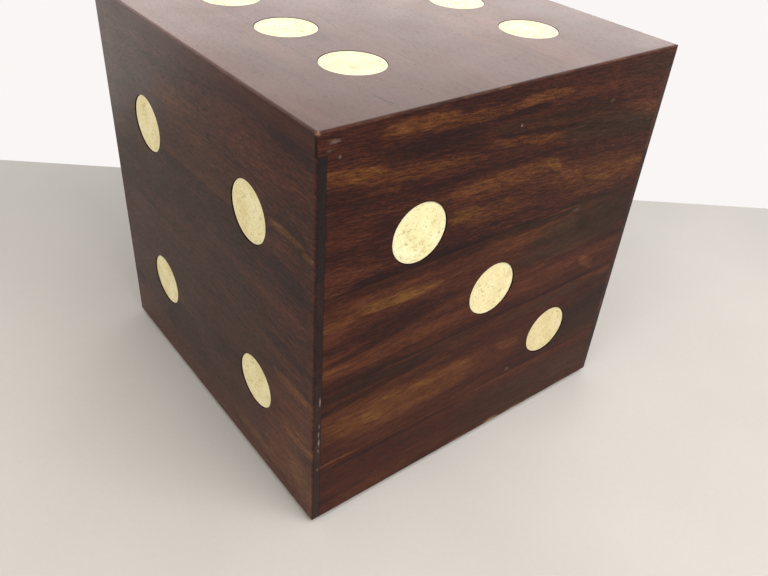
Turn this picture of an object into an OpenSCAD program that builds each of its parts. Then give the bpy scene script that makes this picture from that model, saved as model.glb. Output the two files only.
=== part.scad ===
// A large wooden die that stands on the floor as a low table. Its six faces are glued up from boards, and a
// round inlay is let into a shallow pocket at each spot. Millimetres, +Z up, origin on the floor under the
// centre of the cube. Front is -Y and shows three, left is -X and shows four, the top shows six.

/* [Cube] */
// Length of each edge of the cube
edge = 450; // [380:10:560]
// Rounding of the outer arrises
arris_r = 2.5; // [1:0.5:4]

/* [Panels] */
// Thickness of the top, the front, the back and the sides
panel_t = 20; // [18:1:24]
// Thickness of the side-panel lip that covers each end of the front and the back
lip_t = 9; // [6:1:12]
// Thickness of the edge strips on the front and the back of the top
strip_t = 3; // [2:0.5:5]
// Thickness of the base panel
base_t = 18; // [15:1:22]
// Gap all round the base panel
base_gap = 0.5; // [0.3:0.1:1]

/* [Boards] */
// Relative widths of the front boards, from the bottom up
front_widths = [77, 103, 112, 138]; // [50:1:150]
// Relative widths of the back boards, from the bottom up
back_widths = [98, 124, 88, 120]; // [50:1:150]
// Relative widths of the left boards, from the bottom up
left_widths = [105, 112, 98, 115]; // [50:1:150]
// Relative widths of the right boards, from the bottom up
right_widths = [120, 95, 118, 97]; // [50:1:150]
// Relative widths of the top boards, from left to right
top_widths = [81, 81, 117, 81, 90]; // [50:1:150]

/* [Pips] */
// Diameter of each inlaid disc
pip_d = 63.5; // [50:0.5:70]
// Thickness of each disc
pip_t = 7; // [5:0.5:8]
// Chamfer round the outer edge of each disc
pip_chamfer = 0.6; // [0.2:0.1:1]
// How far each disc of a side face is sunk below the wood
pip_recess = 1.2; // [0.5:0.1:2]
// How far each disc of the top is sunk below the wood
top_recess = 0.3; // [0.1:0.1:1]
// Gap between a disc and the wall of its pocket
pip_gap = 0.4; // [0.2:0.1:0.6]
// Distance across a side face from its middle to an outer pip
side_pitch = 112; // [90:1:120]
// Distance up a side face from its middle to an outer pip
rise_pitch = 105; // [90:1:120]
// How far the pips of a side face sit below its middle
side_drop = 2.5; // [0:0.5:5]
// Distance from the middle of the top to an outer pip, both ways
top_pitch = 114; // [90:1:120]

/* [Inner frame] */
// Width of the square corner posts
post_w = 25; // [22:1:30]
// Width of the square cleats
cleat_w = 22; // [18:1:26]
// Length of the wood screws
screw_l = 32; // [28:1:34]
// Distance from the middle of a base cleat to its outer screws
base_screw_pitch = 120; // [60:5:130]
// Distance from the middle of a side cleat of the top to its screws
side_screw_pitch = 90; // [60:5:120]

/* [Feet] */
// Diameter of each glide
glide_d = 22; // [18:1:24]
// Height of each glide
glide_h = 5; // [4:0.5:8]
// Length of the nail that holds a glide
nail_l = 32; // [28:1:40]

/* [Hidden] */

$fn = 96;

// Colours
wood_colour = "#4b2c1e";
strip_colour = "#54301f";
top_colour = "#5a3a2c";
pip_colour = "#efe3b4";
inner_colour = "#b08d62";
base_colour = "#8d6f4c";
steel_colour = "#b9bcc0";
glide_colour = "#2c2320";

// Half of the cube, and half of the room inside it
half = edge / 2;
inner_half = half - panel_t;
// Levels, from the floor up
body_top_z = glide_h + edge;
slab_z = body_top_z - panel_t;
base_top_z = glide_h + base_t;
middle_z = glide_h + half;
panel_h = slab_z - glide_h;
// How far each cut runs past the surface that it starts from
past = 1;

// Length of a cleat, between two posts
cleat_l = 2 * (inner_half - post_w);
// Distance of a cleat's centre line, and of a post's, from the middle of the cube
cleat_line = inner_half - cleat_w / 2;
post_line = inner_half - post_w / 2;

// Wood screws: shank, countersunk head and its cross recess
screw_r = 2.1;
screw_point_l = 5;
screw_head_r = 4.2;
screw_head_h = 2.6;
cross_w = 1.1;
cross_l = 5;
cross_depth = 1.4;
// A screw at the end of a cleat stays this far from the post
screw_margin = 15;
// Glide nails, and the recess in each glide for the nail's head
nail_r = 1.2;
nail_point_l = 3;
nail_head_r = 2.6;
nail_head_h = 1;
nail_head_z = 0.8;
nail_recess_r = 2.9;
glide_chamfer = 1;
// Gap between a fastener and the wood or plastic round it
fastener_gap = 0.05;

// Where the pips are on each face, in steps of that face's pitches, across it and up it
corner_places = [for (across = [-1, 1], up = [1, -1]) [across, up]];
front_places = [[-1, 1], [0, 0], [1, -1]];
left_places = corner_places;
right_places = [[-1, 1], [1, -1]];
back_places = concat(corner_places, [[0, 0]]);
top_places = [for (across = [-1, 1], up = [-1, 0, 1]) [across, up]];
base_places = [[0, 0]];

// How the pips of a face are laid out: pitch across, pitch up, drop below the middle, and recess
side_layout = [side_pitch, rise_pitch, side_drop, pip_recess];
top_layout = [top_pitch, top_pitch, 0, top_recess];
base_layout = [0, 0, 0, pip_recess];

// The sum of the first n numbers of a list, and the share of the whole list that they make
function first_sum(list, n) = n == 0 ? 0 : list[n - 1] + first_sum(list, n - 1);
function share(list, n) = first_sum(list, n) / first_sum(list, len(list));

// Where the joint below board i of a side is, and the joint to the left of board i of the top
function joint_z(widths, i) = glide_h + panel_h * share(widths, i - 1);
function joint_x(i) = -half + edge * share(top_widths, i - 1);

// The corners of the inner frame, in order round the cube from the front left
corners = [[-1, -1], [1, -1], [1, 1], [-1, 1]];

// Screw places, as points on the plan
function clamped(value, limit) = min(max(value, -limit), limit);
top_screw_reach = cleat_l / 2 - screw_margin;
top_screw_places = concat(
    [for (i = [1 : 5], side = [-1, 1])
        [clamped((joint_x(i) + joint_x(i + 1)) / 2, top_screw_reach), side * cleat_line]],
    [for (side = [-1, 1], along = [-1, 1]) [side * cleat_line, along * side_screw_pitch]]
);
base_screw_places = concat(
    [for (side = [-1, 1], along = [-1, 0, 1]) [along * base_screw_pitch, side * cleat_line]],
    [for (side = [-1, 1], along = [-1, 0, 1]) [side * cleat_line, along * base_screw_pitch]]
);

// ---- Shapes that repeat ----

// A square with rounded corners
module soft_square(size, radius) {
    flat = size - 2 * radius;
    square([flat, size], center = true);
    square([size, flat], center = true);
    for (x = [-1, 1], y = [-1, 1]) {
        translate([x * flat / 2, y * flat / 2]) circle(radius);
    }
}

// The outside of the cube, with its arrises rounded
module envelope() {
    translate([0, 0, middle_z]) intersection() {
        linear_extrude(edge, center = true) soft_square(edge, arris_r);
        rotate([90, 0, 0]) linear_extrude(edge, center = true) soft_square(edge, arris_r);
        rotate([0, 90, 0]) linear_extrude(edge, center = true) soft_square(edge, arris_r);
    }
}

// Moves its children from a flat drawing to one face: x runs to the right and y runs up as the face is
// looked at from outside, and z comes out of the wood, with 0 at its surface
module on_face(turn) {
    translate([0, 0, middle_z]) rotate(turn) translate([0, 0, half]) children();
}
front_turn = [90, 0, 0];
right_turn = [90, 0, 90];
back_turn = [90, 0, 180];
left_turn = [90, 0, -90];
top_turn = [0, 0, 0];
base_turn = [180, 0, 0];

// Moves its children to the back of the disc at one place of a face
module behind_disc(turn, place, layout) {
    on_face(turn)
        translate([place[0] * layout[0], place[1] * layout[1] - layout[2], -pip_t - layout[3]]) children();
}

// The pockets for all the pips of one face
module pockets(turn, places, layout) {
    for (place = places) {
        behind_disc(turn, place, layout) cylinder(h = pip_t + layout[3] + past, r = pip_d / 2 + pip_gap);
    }
}

// One disc, lying in its pocket
module pip(turn, place, layout) {
    color(pip_colour) behind_disc(turn, place, layout) {
        cylinder(h = pip_t - pip_chamfer, d = pip_d);
        translate([0, 0, pip_t - pip_chamfer])
            cylinder(h = pip_chamfer, r1 = pip_d / 2, r2 = pip_d / 2 - pip_chamfer);
    }
}

// One board of the front or the back, let in between the lips of the side panels
module let_in_board(turn, widths, i, places) {
    width = edge - 2 * lip_t;
    bottom = joint_z(widths, i);
    height = joint_z(widths, i + 1) - bottom;
    color(wood_colour) difference() {
        intersection() {
            envelope();
            on_face(turn) translate([-width / 2, bottom - middle_z, -panel_t]) cube([width, height, panel_t]);
        }
        pockets(turn, places, side_layout);
    }
}

// One board of the left or the right side, rebated at both ends for the front and the back
module rebated_board(turn, widths, i, places) {
    bottom = joint_z(widths, i);
    height = joint_z(widths, i + 1) - bottom;
    color(wood_colour) difference() {
        intersection() {
            envelope();
            on_face(turn) translate([-half, bottom - middle_z, -panel_t]) cube([edge, height, panel_t]);
        }
        on_face(turn) for (end = [-1, 1]) {
            translate([end * (half - panel_t / 2 + past / 2), 0, -panel_t / 2 - lip_t / 2 - past / 2])
                cube([panel_t + past, 2 * edge, panel_t - lip_t + past], center = true);
        }
        pockets(turn, places, side_layout);
    }
}

// One edge strip of the top, on the front (side = -1) or the back (side = 1)
module top_strip(side) {
    color(strip_colour) intersection() {
        envelope();
        translate([-half, side * (half - strip_t / 2) - strip_t / 2, slab_z]) cube([edge, strip_t, panel_t]);
    }
}

// A wood screw standing on the middle of its head, or with a gap, the hole for it
module screw_shape(gap) {
    cylinder(h = screw_head_h, r1 = screw_head_r + gap, r2 = screw_r + gap);
    cylinder(h = screw_l - screw_point_l + gap, r = screw_r + gap);
}
module wood_screw() {
    difference() {
        union() {
            screw_shape(0);
            translate([0, 0, screw_l - screw_point_l])
                cylinder(h = screw_point_l, r1 = screw_r, r2 = screw_r / 4);
        }
        for (turn = [0, 90]) {
            rotate(turn) translate([-cross_l / 2, -cross_w / 2, -past])
                cube([cross_l, cross_w, cross_depth + past]);
        }
    }
}
module screw_holes(places, z) {
    for (place = places) {
        translate([place[0], place[1], z]) {
            screw_shape(fastener_gap);
            translate([0, 0, -past]) cylinder(h = past + fastener_gap, r = screw_head_r + fastener_gap);
            cylinder(h = screw_l + fastener_gap, r = screw_r + fastener_gap);
        }
    }
}

// The holes for the nails of the four glides
module nail_holes() {
    for (corner = corners) {
        translate([corner[0] * post_line, corner[1] * post_line, 0])
            cylinder(h = nail_head_z + nail_l + past, r = nail_r + fastener_gap);
    }
}

// ---- Sub-parts ----

module front_board(i) { let_in_board(front_turn, front_widths, i, front_places); }
module back_board(i) { let_in_board(back_turn, back_widths, i, back_places); }
module left_board(i) { rebated_board(left_turn, left_widths, i, left_places); }
module right_board(i) { rebated_board(right_turn, right_widths, i, right_places); }

module top_board(i) {
    width = joint_x(i + 1) - joint_x(i);
    length = edge - 2 * strip_t;
    color(top_colour) difference() {
        intersection() {
            envelope();
            translate([joint_x(i), -length / 2, slab_z]) cube([width, length, panel_t]);
        }
        pockets(top_turn, top_places, top_layout);
        screw_holes(top_screw_places, slab_z - cleat_w);
    }
}
module top_front_strip() { top_strip(-1); }
module top_back_strip() { top_strip(1); }

module base_panel() {
    width = 2 * (inner_half - base_gap);
    color(base_colour) difference() {
        translate([-width / 2, -width / 2, glide_h]) cube([width, width, base_t]);
        pockets(base_turn, base_places, base_layout);
        screw_holes(base_screw_places, glide_h);
        nail_holes();
    }
}

module front_pip(i) { pip(front_turn, front_places[i - 1], side_layout); }
module left_pip(i) { pip(left_turn, left_places[i - 1], side_layout); }
module right_pip(i) { pip(right_turn, right_places[i - 1], side_layout); }
module back_pip(i) { pip(back_turn, back_places[i - 1], side_layout); }
module top_pip(i) { pip(top_turn, top_places[i - 1], top_layout); }
module base_pip() { pip(base_turn, base_places[0], base_layout); }

// Posts stand on the base panel in the four corners and reach the underside of the top
module corner_post(i) {
    corner = corners[i - 1];
    color(inner_colour) difference() {
        translate([corner[0] * post_line, corner[1] * post_line, (base_top_z + slab_z) / 2])
            cube([post_w, post_w, slab_z - base_top_z], center = true);
        nail_holes();
    }
}

// Cleats run between the posts: 1 is at the front, then right, back and left
module cleat(i, z) {
    rotate((i - 1) * 90) translate([-cleat_l / 2, -inner_half, z]) cube([cleat_l, cleat_w, cleat_w]);
}
module top_cleat(i) {
    color(inner_colour) difference() {
        cleat(i, slab_z - cleat_w);
        screw_holes(top_screw_places, slab_z - cleat_w);
    }
}
module base_cleat(i) {
    color(inner_colour) difference() {
        cleat(i, base_top_z);
        screw_holes(base_screw_places, glide_h);
    }
}

module wood_screws() {
    color(steel_colour) {
        for (place = top_screw_places) translate([place[0], place[1], slab_z - cleat_w]) wood_screw();
        for (place = base_screw_places) translate([place[0], place[1], glide_h]) wood_screw();
    }
}

module glides() {
    color(glide_colour) for (corner = corners) {
        translate([corner[0] * post_line, corner[1] * post_line, 0]) difference() {
            union() {
                cylinder(h = glide_chamfer, r1 = glide_d / 2 - glide_chamfer, r2 = glide_d / 2);
                translate([0, 0, glide_chamfer]) cylinder(h = glide_h - glide_chamfer, d = glide_d);
            }
            translate([0, 0, -past]) cylinder(h = past + nail_head_z + nail_head_h, r = nail_recess_r);
            cylinder(h = glide_h + past, r = nail_r + fastener_gap);
        }
    }
}

module glide_nails() {
    color(steel_colour) for (corner = corners) {
        translate([corner[0] * post_line, corner[1] * post_line, nail_head_z]) {
            cylinder(h = nail_head_h, r = nail_head_r);
            cylinder(h = nail_l - nail_point_l, r = nail_r);
            translate([0, 0, nail_l - nail_point_l]) cylinder(h = nail_point_l, r1 = nail_r, r2 = nail_r / 4);
        }
    }
}

for (i = [1 : 4]) {
    front_board(i);
    back_board(i);
    left_board(i);
    right_board(i);
    corner_post(i);
    top_cleat(i);
    base_cleat(i);
}
for (i = [1 : 5]) top_board(i);
top_front_strip();
top_back_strip();
base_panel();
for (i = [1 : 3]) front_pip(i);
for (i = [1 : 4]) left_pip(i);
for (i = [1 : 2]) right_pip(i);
for (i = [1 : 5]) back_pip(i);
for (i = [1 : 6]) top_pip(i);
base_pip();
wood_screws();
glides();
glide_nails();
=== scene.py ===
"""Looks of the die-shaped side table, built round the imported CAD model.

Metres, on the same axes as the CAD: +Z up, origin on the floor under the centre of the cube,
front -Y with three spots, left -X with four, top with six.
"""
import math
from collections import namedtuple

import bpy
from mathutils import Euler, Matrix, Vector, noise


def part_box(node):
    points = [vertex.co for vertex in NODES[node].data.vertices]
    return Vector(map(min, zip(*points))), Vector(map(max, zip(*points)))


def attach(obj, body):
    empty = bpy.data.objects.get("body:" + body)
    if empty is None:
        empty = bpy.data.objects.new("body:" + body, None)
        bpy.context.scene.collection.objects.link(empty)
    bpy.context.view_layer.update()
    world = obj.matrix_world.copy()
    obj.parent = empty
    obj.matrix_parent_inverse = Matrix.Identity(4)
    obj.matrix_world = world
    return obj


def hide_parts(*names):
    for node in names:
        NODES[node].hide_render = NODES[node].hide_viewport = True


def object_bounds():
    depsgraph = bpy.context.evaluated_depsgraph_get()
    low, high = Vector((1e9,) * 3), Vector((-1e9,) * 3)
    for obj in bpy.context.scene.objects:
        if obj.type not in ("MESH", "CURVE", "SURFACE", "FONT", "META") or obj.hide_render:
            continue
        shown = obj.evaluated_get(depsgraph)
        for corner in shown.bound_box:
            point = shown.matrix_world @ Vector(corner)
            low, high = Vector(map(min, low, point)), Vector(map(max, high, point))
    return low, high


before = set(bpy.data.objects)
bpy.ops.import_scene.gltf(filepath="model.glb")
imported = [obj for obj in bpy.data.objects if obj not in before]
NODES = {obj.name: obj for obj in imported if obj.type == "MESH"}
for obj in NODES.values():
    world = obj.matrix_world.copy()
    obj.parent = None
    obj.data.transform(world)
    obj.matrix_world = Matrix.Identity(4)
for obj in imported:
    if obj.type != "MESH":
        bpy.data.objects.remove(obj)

MM = 0.001
CAD_LOW, CAD_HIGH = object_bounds()
HALF = CAD_HIGH.x
TOP = CAD_HIGH.z
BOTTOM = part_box("front_board_1")[0].z

# Which row-frame axis runs along the grain, across the board and through it
ALONG_X = ("X", "Z", "Y")
ALONG_Y = ("Y", "Z", "X")
TOP_ALONG_Y = ("Y", "X", "Z")
TOP_ALONG_X = ("X", "Y", "Z")
UPRIGHT = ("Z", "X", "Y")


# ---------------------------------------------------------------- node trees

class Graph:
    """A node tree, with one short method for each kind of node that the materials use."""

    def __init__(self, tree):
        self.tree = tree

    def add(self, kind, values=None, **settings):
        """A new node. Each value is a number, a tuple or another node's output."""
        node = self.tree.nodes.new(kind)
        for name, value in settings.items():
            setattr(node, name, value)
        for place, value in (values or {}).items():
            if isinstance(value, bpy.types.NodeSocket):
                self.tree.links.new(value, node.inputs[place])
            else:
                node.inputs[place].default_value = value
        return node

    def math(self, operation, a, b=0.0, c=0.0, clamp=False):
        values = {0: a, 1: b, 2: c}
        return self.add("ShaderNodeMath", values, operation=operation, use_clamp=clamp).outputs[0]

    def blend(self, a, share_a, b, share_b, clamp=False):
        """The sum of two values, each times its share."""
        first = self.math("MULTIPLY", a, share_a)
        return self.math("ADD", first, self.math("MULTIPLY", b, share_b), clamp=clamp)

    def vector(self, operation, a, b=(0.0, 0.0, 0.0)):
        """A vector operation. LENGTH and DOT_PRODUCT give a number."""
        node = self.add("ShaderNodeVectorMath", {0: a, 1: b}, operation=operation)
        return node.outputs["Value" if operation in ("LENGTH", "DOT_PRODUCT") else "Vector"]

    def combine(self, x, y, z):
        return self.add("ShaderNodeCombineXYZ", {0: x, 1: y, 2: z}).outputs[0]

    def separate(self, vector):
        node = self.add("ShaderNodeSeparateXYZ", {0: vector})
        return {axis: node.outputs[axis] for axis in "XYZ"}

    def step(self, value, low, high, start=0.0, end=1.0):
        """A smooth step from start, at low, to end, at high."""
        values = {0: value, 1: low, 2: high, 3: start, 4: end}
        return self.add("ShaderNodeMapRange", values, interpolation_type="SMOOTHSTEP").outputs[0]

    def noise(self, vector, scale, detail=2.0, roughness=0.5):
        values = {"Vector": vector, "Scale": scale, "Detail": detail, "Roughness": roughness}
        return self.add("ShaderNodeTexNoise", values).outputs[0]

    def ramp(self, value, stops):
        """Colours from a list of (place, (red, green, blue)), linear values."""
        node = self.add("ShaderNodeValToRGB", {0: value})
        elements = node.color_ramp.elements
        while len(elements) < len(stops):
            elements.new(0.5)
        for element, (place, colour) in zip(elements, stops):
            element.position = place
            element.color = (*colour, 1.0)
        return node.outputs[0]

    def mix(self, share, a, b, blend="MIX"):
        """Two colours mixed: a where share is 0, b where it is 1."""
        def full(colour):
            return colour if isinstance(colour, bpy.types.NodeSocket) else (*colour, 1.0)
        values = {0: share, 6: full(a), 7: full(b)}
        return self.add("ShaderNodeMix", values, data_type="RGBA", blend_type=blend).outputs[2]

    def group(self, tree, values):
        return self.add("ShaderNodeGroup", values, node_tree=tree)


def new_group(name, inputs, outputs):
    """An empty node group. Inputs and outputs are (name, kind) pairs, kind being Float or Vector."""
    tree = bpy.data.node_groups.new(name, "ShaderNodeTree")
    for direction, sockets in (("INPUT", inputs), ("OUTPUT", outputs)):
        for socket_name, kind in sockets:
            tree.interface.new_socket(name=socket_name, in_out=direction, socket_type="NodeSocket" + kind)
    graph = Graph(tree)
    return graph, graph.add("NodeGroupInput").outputs, graph.add("NodeGroupOutput").inputs


def new_material(name):
    """An empty material with a Principled shader. Returns it, its graph and the shader."""
    material = bpy.data.materials.new(name)
    material.use_nodes = True
    tree = material.node_tree
    tree.nodes.clear()
    graph = Graph(tree)
    shader = graph.add("ShaderNodeBsdfPrincipled")
    output = graph.add("ShaderNodeOutputMaterial")
    tree.links.new(shader.outputs[0], output.inputs[0])
    return material, graph, shader


def connect(graph, shader, colour, roughness, height, bump_strength, bump_depth):
    """Links colour, roughness and bump to a Principled shader."""
    values = {"Height": height, "Strength": bump_strength, "Distance": bump_depth}
    bump = graph.add("ShaderNodeBump", values)
    links = graph.tree.links
    links.new(colour, shader.inputs["Base Color"])
    links.new(roughness, shader.inputs["Roughness"])
    links.new(bump.outputs[0], shader.inputs["Normal"])


def row_position(graph):
    """The point in the row frame, as a vector and as separate X, Y and Z outputs."""
    point = graph.add("ShaderNodeTexCoord").outputs["Object"]
    return point, graph.separate(point)


# ---------------------------------------------------------------- the hardwood

def streak_group():
    """A long soft lens in the plane of a face: 1 in its middle, 0 outside it."""
    names = ("Along", "Across", "Middle along", "Middle across", "Half length", "Half width", "Slope")
    sockets = [(name, "Float") for name in names]
    graph, given, result = new_group("streak", sockets, [("Strength", "Float")])
    run = graph.math("SUBTRACT", given["Along"], given["Middle along"])
    rise = graph.math("SUBTRACT", given["Across"], given["Middle across"])
    rise = graph.math("SUBTRACT", rise, graph.math("MULTIPLY", run, given["Slope"]))
    run = graph.math("DIVIDE", run, given["Half length"])
    rise = graph.math("DIVIDE", rise, given["Half width"])
    distance = graph.math("ADD", graph.math("POWER", graph.math("ABSOLUTE", run), 2.6),
                          graph.math("MULTIPLY", rise, rise))
    graph.tree.links.new(graph.step(distance, 0.0, 1.4, 1.0, 0.0), result[0])
    return graph.tree


def figure_group():
    """The figure of the dark hardwood as a solid texture, in a board's own directions.

    Point is (along, across, deep) in metres. Pith is where the middle of the tree lies, across and
    deep, so that each board shows the rings its own way.
    """
    sockets = [("Point", "Vector"), ("Pith across", "Float"), ("Pith deep", "Float")]
    outputs = [(name, "Float") for name in ("Tone", "Fine", "Glow", "Mottle", "Fibre", "Pore", "Waver")]
    graph, given, result = new_group("hardwood_figure", sockets, outputs)
    point = given["Point"]

    def stretched(along, across, offset=0.0):
        scaled = graph.vector("MULTIPLY", point, (along, across, across))
        return graph.vector("ADD", scaled, (offset, offset * 1.7, offset * 0.6))

    def total(layers):
        """The sum of noises about their middle, each with its strength."""
        so_far = 0.0
        for layer, strength in layers:
            so_far = graph.math("MULTIPLY_ADD", graph.math("SUBTRACT", layer, 0.5), strength, so_far)
        return so_far

    slow = graph.noise(stretched(2.4, 10.0), 1.0, 2.0)
    quick = graph.noise(stretched(11.0, 60.0, 3.1), 1.0, 3.0, 0.6)
    waver = total([(slow, 0.055), (quick, 0.010)])
    parts = graph.separate(point)
    across = graph.math("SUBTRACT", parts["Y"], given["Pith across"])
    deep = graph.math("SUBTRACT", parts["Z"], given["Pith deep"])
    ring = graph.vector("LENGTH", graph.combine(0.0, across, deep))
    ring = graph.math("ADD", ring, waver)

    def rings(per_metre, along, detail):
        place = graph.combine(graph.math("MULTIPLY", ring, per_metre),
                              graph.math("MULTIPLY", parts["X"], along), 0.0)
        return graph.noise(place, 1.0, detail, 0.55)

    bands = graph.noise(stretched(9.0, 95.0, 5.2), 1.0, 4.0, 0.65)
    tone = total([(rings(38.0, 1.6, 2.0), 1.25), (rings(180.0, 4.0, 3.0), 0.50), (bands, 0.60)])
    strokes = graph.noise(stretched(70.0, 520.0, 2.9), 1.0, 3.0, 0.65)
    fibre = graph.noise(stretched(220.0, 1100.0, 1.3), 1.0, 2.0, 0.6)
    fine = total([(strokes, 1.1), (fibre, 0.7)])
    clouds = graph.noise(stretched(24.0, 85.0, 6.6), 1.0, 4.0, 0.7)
    flecks = graph.noise(stretched(62.0, 560.0, 4.4), 1.0, 2.0, 0.6)
    mottle = graph.math("ADD", total([(clouds, 0.65), (flecks, 0.65)]), 0.5)
    patch = graph.noise(stretched(5.0, 26.0, 7.7), 1.0, 2.0)
    pores = graph.noise(stretched(150.0, 1300.0, 9.4), 1.0, 1.0)

    links = graph.tree.links
    links.new(tone, result["Tone"])
    links.new(fine, result["Fine"])
    links.new(graph.step(patch, 0.50, 0.72), result["Glow"])
    links.new(mottle, result["Mottle"])
    links.new(fibre, result["Fibre"])
    links.new(graph.step(pores, 0.58, 0.68), result["Pore"])
    links.new(waver, result["Waver"])
    return graph.tree


STREAK = streak_group()
FIGURE = figure_group()

# Colours of the hardwood from its darkest to its lightest wood, under a clear finish
BROWN = [(0.0, (0.009, 0.0065, 0.0080)), (0.3, (0.019, 0.0090, 0.0095)), (0.52, (0.043, 0.0140, 0.0105)),
         (0.75, (0.076, 0.0275, 0.0165)), (1.0, (0.122, 0.048, 0.024))]
RED = [(0.0, (0.012, 0.006, 0.0065)), (0.4, (0.047, 0.0150, 0.0105)), (0.7, (0.084, 0.0280, 0.0170)),
       (1.0, (0.135, 0.050, 0.026))]
ORANGE = [(0.0, (0.013, 0.0065, 0.0060)), (0.35, (0.050, 0.0170, 0.0085)), (0.65, (0.107, 0.0405, 0.0145)),
          (1.0, (0.205, 0.088, 0.029))]
YELLOW = [(0.0, (0.014, 0.0075, 0.0055)), (0.35, (0.050, 0.0215, 0.0085)), (0.65, (0.108, 0.0470, 0.0140)),
          (1.0, (0.208, 0.106, 0.032))]
GREY = [(0.0, (0.009, 0.0068, 0.0065)), (0.4, (0.025, 0.0150, 0.0110)), (0.7, (0.044, 0.0260, 0.0175)),
        (1.0, (0.066, 0.041, 0.028))]
# The red of the stain, the dark of open end grain and of glued joints, and the wood under worn finish
STAIN = (0.012, 0.0040, 0.0020)
OPEN_GRAIN = (0.008, 0.007, 0.010)
JOINT = (0.006, 0.004, 0.003)
WORN = (0.17, 0.085, 0.047)
LACQUER_IOR = 1.45
JOINT_HALF_WIDTH = 0.7 * MM
# The lightness of plain wood, from 0 to 1, and how far along one tree the boards are cut from each other
MIDDLE_LEVEL = 0.47
BOARD_SHIFT = 1.37
PALETTES = {"red": RED, "orange": ORANGE, "yellow": YELLOW, "grey": GREY}
# How much each kind of streak lifts or lowers the tone under it
LIFTS = {"red": 0.06, "orange": 0.13, "yellow": 0.13, "grey": -0.07, "dark": -0.30, "knot": -0.42}

# Streaks that a face shows: kind, middle along, middle up, half length, half width in mm, slope, strength
FRONT_STREAKS = [
    # The front edge of the top, and the uppermost board
    ("orange", -122, 441, 46, 9, 0.0, 1.0),
    ("orange", -70, 433, 50, 8, -0.05, 0.7),
    ("orange", 20, 435, 55, 6, 0.05, 0.8),
    ("red", 85, 428, 55, 5, 0.08, 0.5),
    ("dark", 0, 425, 42, 4, 0.02, 0.8),
    ("dark", -105, 418, 60, 9, -0.03, 0.5),
    ("dark", 90, 415, 70, 13, -0.03, 0.35),
    ("grey", 190, 440, 60, 12, 0.0, 0.5),
    ("orange", -196, 412, 48, 10, -0.10, 1.0),
    ("orange", -120, 398, 85, 9, -0.06, 0.7),
    ("orange", -158, 387, 24, 3, -0.05, 0.6),
    ("orange", 15, 397, 62, 6, -0.10, 0.8),
    ("dark", 35, 401, 75, 3.5, -0.10, 0.9),
    ("dark", 120, 388, 42, 6, -0.16, 0.6),
    ("grey", 150, 383, 100, 17, -0.13, 1.0),
    ("grey", 20, 412, 70, 8, -0.08, 0.5),
    ("red", 190, 398, 44, 7, -0.16, 0.8),
    ("dark", -70, 376, 62, 5, 0.0, 0.6),
    ("dark", 25, 375, 55, 4, -0.02, 0.6),
    ("orange", -5, 358, 90, 12, 0.0, 0.75),
    ("yellow", 60, 357, 13, 8, -0.5, 0.8),
    ("orange", 78, 345, 26, 8, -0.5, 0.7),
    ("orange", 140, 327, 105, 24, -0.08, 0.5),
    ("orange", 152, 331, 88, 9, -0.13, 0.6),
    ("yellow", 140, 322, 26, 4, -0.2, 0.7),
    ("yellow", 203, 328, 20, 5, -0.1, 0.6),
    ("yellow", -57, 337, 26, 9, -0.1, 0.8),
    ("orange", -5, 328, 60, 14, 0.0, 0.45),
    ("red", -196, 352, 46, 14, 0.0, 0.9),
    ("red", -192, 318, 46, 13, -0.05, 0.9),
    ("dark", -160, 349, 22, 16, 0.0, 0.35),
    ("dark", -108, 297, 120, 12, 0.02, 1.0),
    ("dark", 40, 297, 90, 6, -0.02, 0.8),
    ("dark", -205, 293, 30, 6, 0.3, 0.6),
    # The board with the middle spot
    ("grey", 110, 296, 135, 5, -0.03, 0.8),
    ("grey", 140, 264, 105, 32, -0.04, 1.0),
    ("grey", 75, 247, 66, 13, -0.03, 0.9),
    ("knot", 134, 270, 15, 15, -0.3, 0.5),
    ("red", 165, 269, 14, 7, -0.2, 0.6),
    ("yellow", -130, 271, 62, 7, -0.02, 0.9),
    ("orange", -205, 268, 26, 6, 0.0, 0.6),
    ("red", -205, 255, 22, 10, 0.0, 0.7),
    ("dark", -138, 245, 95, 16, 0.02, 1.0),
    ("dark", -165, 227, 78, 6, 0.10, 1.0),
    ("dark", -82, 240, 22, 8, 0.0, 0.5),
    ("dark", 150, 231, 80, 5, -0.02, 0.5),
    ("red", -110, 209, 130, 13, 0.01, 1.0),
    ("orange", -195, 212, 22, 5, 0.0, 0.7),
    ("orange", 160, 205, 18, 9, -0.5, 0.9),
    ("red", 110, 212, 110, 12, 0.0, 0.6),
    # The board with the lowest spot
    ("grey", -110, 179, 125, 10, 0.02, 0.5),
    ("dark", -140, 178, 95, 10, 0.03, 0.6),
    ("dark", 20, 184, 80, 6, 0.0, 0.4),
    ("dark", -150, 163, 88, 6, 0.12, 1.0),
    ("dark", 120, 186, 105, 2.5, 0.0, 0.8),
    ("grey", 120, 175, 120, 8, -0.02, 0.7),
    ("dark", 62, 167, 45, 3, -0.12, 0.5),
    ("orange", -112, 128, 122, 25, 0.0, 0.75),
    ("yellow", -153, 125, 16, 8, -0.3, 0.6),
    ("yellow", -132, 139, 12, 3, -0.3, 0.6),
    ("yellow", -88, 137, 22, 5, -0.1, 0.5),
    ("red", 20, 130, 75, 28, 0.0, 0.6),
    ("orange", 44, 132, 24, 9, -0.2, 0.6),
    ("knot", 54, 96, 8, 3, 0.0, 0.8),
    ("grey", 200, 120, 70, 40, 0.0, 0.7),
    # The lowest board
    ("orange", -195, 85, 32, 3, 0.0, 0.9),
    ("dark", -115, 74, 110, 4, 0.0, 0.6),
    ("grey", 10, 66, 42, 9, 0.0, 0.6),
    ("red", -110, 35, 120, 18, 0.0, 0.5),
    ("grey", 110, 40, 160, 34, 0.0, 0.7),
]
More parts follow.
